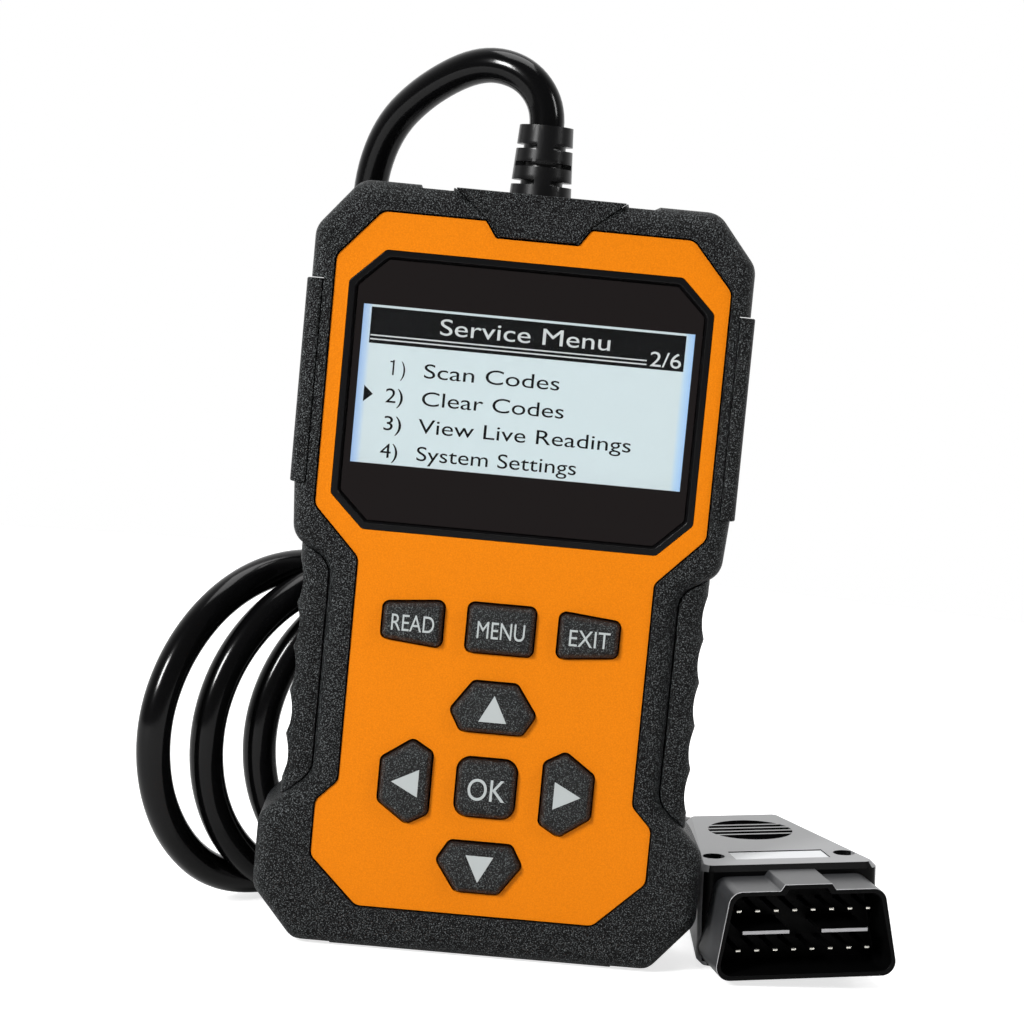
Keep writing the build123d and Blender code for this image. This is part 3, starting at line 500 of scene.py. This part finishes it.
for node, name, edge, segments, material, slot in (
    ("front_shell", "housing_front", 0.3, 2, black_housing, "black_housing"),
    ("rear_shell", "housing_rear", 0.3, 2, black_housing, "black_housing"),
    ("gland_cover", "exit_cover", 0.35, 2, black_housing, "black_housing"),
    ("face_plate", "orange_plate", 0.12, 2, orange_face, "orange_plate"),
    ("screen_bezel", "window_rim", 0.12, 2, rim_black, "black_housing"),
    ("side_strip_left", "strip_left", 0.35, 3, black_housing, "soft_black"),
    ("side_strip_right", "strip_right", 0.35, 3, black_housing, "soft_black"),
    ("finger_grip_left", "grip_left", 0.9, 4, black_housing, "soft_black"),
    ("finger_grip_right", "grip_right", 0.9, 4, black_housing, "soft_black"),
    ("cable_gland", "strain_relief", 0.15, 2, relief_black, "gloss_relief"),
    ("plug_strain_relief", "plug_sleeve", 0.3, 3, relief_black, "gloss_relief"),
    ("plug_shroud", "plug_mouth", 0.34, 3, shroud_grey, "grey_plug"),
    ("plug_lower_shell", "plug_lower_half", 0.35, 2, plug_grey, "grey_plug"),
    ("plug_upper_shell", "plug_upper_half", 0.35, 2, painted_lit_lid_grey, "grey_plug"),
    ("plug_pins_lower", "pin_row_lower", 0.2, 2, pin_metal, "plated_pin"),
    ("plug_pins_upper", "pin_row_upper", 0.2, 2, pin_metal, "plated_pin"),
):
    piece = rounded_copy(node, name, edge, segments)
    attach(piece, "handset")
    paint(piece, material)
    if node.startswith("finger_grip"):
        swollen(piece, GRIP_GROWTH)


# These say which faces of a plug piece get painted shade or a painted highlight. See
# paint_plug_light.
# Painted shade: the housing's front faces, in shadow under its top edge, are painted near-black.
def shaded_front_faces(middle, normal):
    return normal.y < -0.6


# Painted shade: the floor and walls of the label's recess are painted near-black.
def shaded_label_seat(middle, normal):
    return abs(middle.x) < 11.6 and 18 < middle.y < 27.2 and 20.5 < middle.z < 21.75


def shaded_mouth(middle, normal):
    """Painted shade: inner walls, and what faces the user behind the rim, are painted near-black.
    """
    inward = normal.x * middle.x + normal.z * (middle.z - 10.2) < -0.3
    behind_rim = normal.y < -0.5 and middle.y > 0.6
    inside = abs(middle.x) < 15 and 2 < middle.z < 17
    return middle.y < 14 and (inward or behind_rim or inside)


# Painted highlight: the rib's front edge is painted light grey.
def lit_rib_edge(middle, normal):
    return normal.y < -0.8 and 0.8 < middle.y < 3 and abs(middle.z - 10.5) < 0.8


# Painted shade: the rim's front face is painted near-black.
def on_rim(middle, normal):
    return normal.y < -0.95 and middle.y < 0.3


# Painted highlight: the rim's outer bevel is painted light grey.
def lit_rim_corner(middle, normal):
    outward = normal.x * middle.x + normal.z * (middle.z - 10.2) > 0.1
    return -0.95 < normal.y < -0.2 and middle.y < 0.5 and outward


# Painted shade: the pins' sides, deep in the mouth, are painted near-black, so only their tips show
# the metal.
def shaded_pin_side(middle, normal):
    return normal.y > -0.3


# Painted shade and painted highlights on the plug's faces.
for name in ("plug_lower_half", "plug_upper_half"):
    paint_plug_light(bpy.data.objects[name], painted_shade_black, shaded_front_faces)
paint_plug_light(bpy.data.objects["plug_upper_half"], painted_shade_black, shaded_label_seat)
paint_plug_light(bpy.data.objects["plug_mouth"], painted_shade_black, shaded_mouth)
paint_plug_light(bpy.data.objects["plug_mouth"], painted_highlight_grey, lit_rib_edge)
paint_plug_light(bpy.data.objects["plug_mouth"], painted_shade_black, on_rim)
paint_plug_light(bpy.data.objects["plug_mouth"], painted_highlight_grey, lit_rim_corner)
for name in ("pin_row_lower", "pin_row_upper"):
    paint_plug_light(bpy.data.objects[name], painted_shade_black, shaded_pin_side)

for node, material in (
    ("screen_lens", clear_window()),
    ("screen_mask", glowing_mask),
    ("lcd_panel", lit_panel()),
    ("plug_label", bare_label),
    ("plug_screws", screw_steel),
    ("case_screws", screw_steel),
    ("board_screws", screw_steel),
    ("main_board", green_board),
    ("plug_board", green_board),
    ("keypad_mat", mat_grey),
):
    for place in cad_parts[node].material_slots:
        place.material = material

# --- Keys ---------------------------------------------------------------------------------
# Each step of the swelling front: how far it rises and how much smaller it gets.
DOME_STEPS = ((0.16, 0.93), (0.08, 0.9), (0.04, 0.86), (0.015, 0.8))
DOME_RISE = sum(rise for rise, factor in DOME_STEPS)
# The legends are moulded through the swelling, so that none of them floats.
LEGEND_DEPTH = 0.6
LEGEND_PROUD = 0.03
KEY_EDGE = 0.6
# Painted shade: a cap's faces that turn away from the user by more than this normal get a darker
# copy of the key finish.
SHADED_SIDE_NORMAL = -0.62
ARROW_WIDTH, ARROW_HEIGHT = 5.8, 5.6


def domed(piece):
    """The piece's front face swells in steps."""
    pick_only(piece)
    front = min(vertex.co.y for vertex in piece.data.vertices)
    bpy.ops.object.mode_set(mode="EDIT")
    bpy.ops.mesh.select_all(action="DESELECT")
    bpy.ops.object.mode_set(mode="OBJECT")
    for face in piece.data.polygons:
        face.select = face.normal.y < -0.99 and abs(face.center.y - front) < 0.05 * MM
        if face.select:
            middle = face.center.copy()
    bpy.ops.object.mode_set(mode="EDIT")
    for rise, factor in DOME_STEPS:
        bpy.ops.mesh.extrude_region_move(TRANSFORM_OT_translate={"value": (0, -rise * MM, 0)})
        bpy.ops.transform.resize(value=(factor, 1, factor), center_override=middle)
    bpy.ops.object.mode_set(mode="OBJECT")


legends = {"key_read": "READ", "key_menu": "MENU", "key_exit": "EXIT", "key_ok": "OK"}
legend_sizes = {"READ": (3.6, 8.8), "MENU": (3.7, 9.8), "EXIT": (3.6, 8.4), "OK": (4.8, 7.8)}
arrow_turns = {"key_up": 0, "key_right": 90, "key_down": 180, "key_left": 270}

for node in [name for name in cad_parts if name.startswith("key_")]:
    cap = rounded_copy(node, node.replace("key_", "cap_"), KEY_EDGE, 4, shaped=domed)
    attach(cap, node)
    paint(cap, charcoal_key)
    # Painted shade on the cap's sides.
    cap.data.materials.append(shaded_key_side)
    for face in cap.data.polygons:
        if face.normal.y > SHADED_SIDE_NORMAL:
            face.material_index = 1
    low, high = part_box(node)
    middle_x, middle_z = (low[0] + high[0]) / 2 / MM, (low[2] + high[2]) / 2 / MM
    legend_y = low[1] / MM - DOME_RISE + LEGEND_DEPTH - LEGEND_PROUD
    if node in legends:
        words = legends[node]
        tall, wide = legend_sizes[words]
        mark = upright_words(
            words,
            "legend_" + words.lower(),
            tall,
            middle_x,
            middle_z - tall / 2,
            legend_y,
            LEGEND_DEPTH,
            wide,
        )
    else:
        turn = arrow_turns[node]
        mark = upright_triangle(
            "legend_" + node[4:],
            middle_x,
            middle_z,
            legend_y,
            ARROW_WIDTH,
            ARROW_HEIGHT,
            turn,
            LEGEND_DEPTH,
        )
    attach(mark, node)
    paint(mark, legend_grey)

# --- Display ------------------------------------------------------------------------------
INK = 0.03
GLOW_INK = 0.02
ROW_TALL = 3.1
ROW_TOP = 119.4
ROW_PITCH = 5.68
screen_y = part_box("lcd_panel")[0][1] / MM
header_y = screen_y - INK
white_glow = glowing("white_glow", (0.62, 0.66, 0.66), 0.9)


def show(piece, material):
    """The piece belongs to the display and has the material."""
    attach(piece, "handset")
    paint(piece, material)


show(upright_plate("header_bar", -32.4, 32.4, 125.6, 133.0, screen_y, INK), screen_ink)
show(upright_plate("header_line_high", -32.2, 24.7, 127.1, 127.38, header_y, GLOW_INK), white_glow)
show(upright_plate("header_line_low", -32.2, 24.7, 126.3, 126.58, header_y, GLOW_INK), white_glow)
title = upright_words("Service Menu", "header_title", 3.5, -0.5, 128.5, header_y, GLOW_INK, 35)
show(title, white_glow)
page = upright_words("2/6", "page_number", 3.2, 28.6, 126.2, header_y, GLOW_INK, 6.4)
show(page, white_glow)
# The first row's digit is built of plates below, so only its bracket is a word here.
rows = (
    (")", "Scan Codes", 27.9),
    ("2)", "Clear Codes", 29.3),
    ("3)", "View Live Readings", 44.0),
    ("4)", "System Settings", 33.0),
)
for index, (number, words, wide) in enumerate(rows):
    height = ROW_TOP - index * ROW_PITCH
    start, number_width = (-28.2, 3.6) if index else (-25.4, 0.9)
    for text, name, x, width in (
        (number, f"row_number_{index}", start, number_width),
        (words, f"row_words_{index}", -20.8, wide),
    ):
        line = upright_words(text, name, ROW_TALL, x, height, screen_y, INK, width, "LEFT")
        show(line, screen_ink)
show(upright_plate("digit_stem", -27.1, -26.75, 119.4, 122.5, screen_y, INK), screen_ink)
show(upright_plate("digit_flag", -27.65, -27.1, 122.0, 122.3, screen_y, INK), screen_ink)
show(upright_triangle("row_pointer", -31.6, 115.2, screen_y, 3.4, 1.9, 90, INK), screen_ink)


# --- Studio -------------------------------------------------------------------------------
def add_floor():
    """A white light table under the object."""
    bpy.ops.object.select_all(action="DESELECT")
    bpy.ops.mesh.primitive_circle_add(vertices=96, radius=0.75, fill_type="NGON")
    floor = bpy.context.object
    floor.name = "studio_floor"
    floor.location.z = -0.0002
    settle(floor)
    white = finish_of("pale_floor", (0.6, 0.6, 0.6), 0.7, 0.1)
    shader = white.node_tree.nodes["Principled BSDF"]
    shader.inputs["Emission Color"].default_value = (1, 1, 1, 1)
    # The table shines towards the viewer and hardly lights the object from below.
    nodes, links = white.node_tree.nodes, white.node_tree.links
    ray = nodes.new("ShaderNodeLightPath")
    glow = nodes.new("ShaderNodeMath")
    glow.operation = "MULTIPLY_ADD"
    glow.inputs[1].default_value = 0.68
    glow.inputs[2].default_value = 0.06
    links.new(ray.outputs["Is Camera Ray"], glow.inputs[0])
    links.new(glow.outputs[0], shader.inputs["Emission Strength"])
    paint(floor, white)


def add_panel(name, place, target, width, height, power, color=(1, 1, 1)):
    """A soft light panel that faces a point."""
    data = bpy.data.lights.new(name, "AREA")
    data.shape = "RECTANGLE"
    data.size = width
    data.size_y = height
    data.energy = power
    data.color = color
    panel = bpy.data.objects.new(name, data)
    bpy.context.scene.collection.objects.link(panel)
    panel.location = place
    aim = Vector(target) - Vector(place)
    panel.rotation_euler = aim.to_track_quat("-Z", "Y").to_euler()


def add_surround():
    """A white backdrop whose own light is bright behind the object and dim on the user's side."""
    world = bpy.data.worlds.new("surround")
    bpy.context.scene.world = world
    world.use_nodes = True
    nodes, links = world.node_tree.nodes, world.node_tree.links
    place = nodes.new("ShaderNodeTexCoord")
    parts = nodes.new("ShaderNodeSeparateXYZ")
    spread = nodes.new("ShaderNodeMapRange")
    spread.interpolation_type = "SMOOTHSTEP"
    spread.inputs["From Min"].default_value = -0.3
    spread.inputs["From Max"].default_value = 0.9
    spread.inputs["To Min"].default_value = 0.1
    spread.inputs["To Max"].default_value = 1.0
    ray = nodes.new("ShaderNodeLightPath")
    seen = nodes.new("ShaderNodeMath")
    seen.operation = "MAXIMUM"
    links.new(place.outputs["Generated"], parts.inputs["Vector"])
    links.new(parts.outputs["Y"], spread.inputs["Value"])
    links.new(spread.outputs["Result"], seen.inputs[0])
    links.new(ray.outputs["Is Camera Ray"], seen.inputs[1])
    links.new(seen.outputs[0], nodes["Background"].inputs["Strength"])
    nodes["Background"].inputs["Color"].default_value = (1, 1, 1, 1)


add_floor()
add_surround()
add_panel("key_panel", (-0.95, -0.95, 0.75), (0, 0, 0.07), 0.26, 0.4, 26)
add_panel("side_panel", (1.1, -0.5, 0.75), (0, 0, 0.08), 0.2, 0.5, 5)
add_panel("top_panel", (0.0, 0.1, 1.6), (0, 0, 0), 1.0, 1.0, 14)
bpy.context.scene.view_settings.view_transform = "Standard"

bpy.context.view_layer.update()
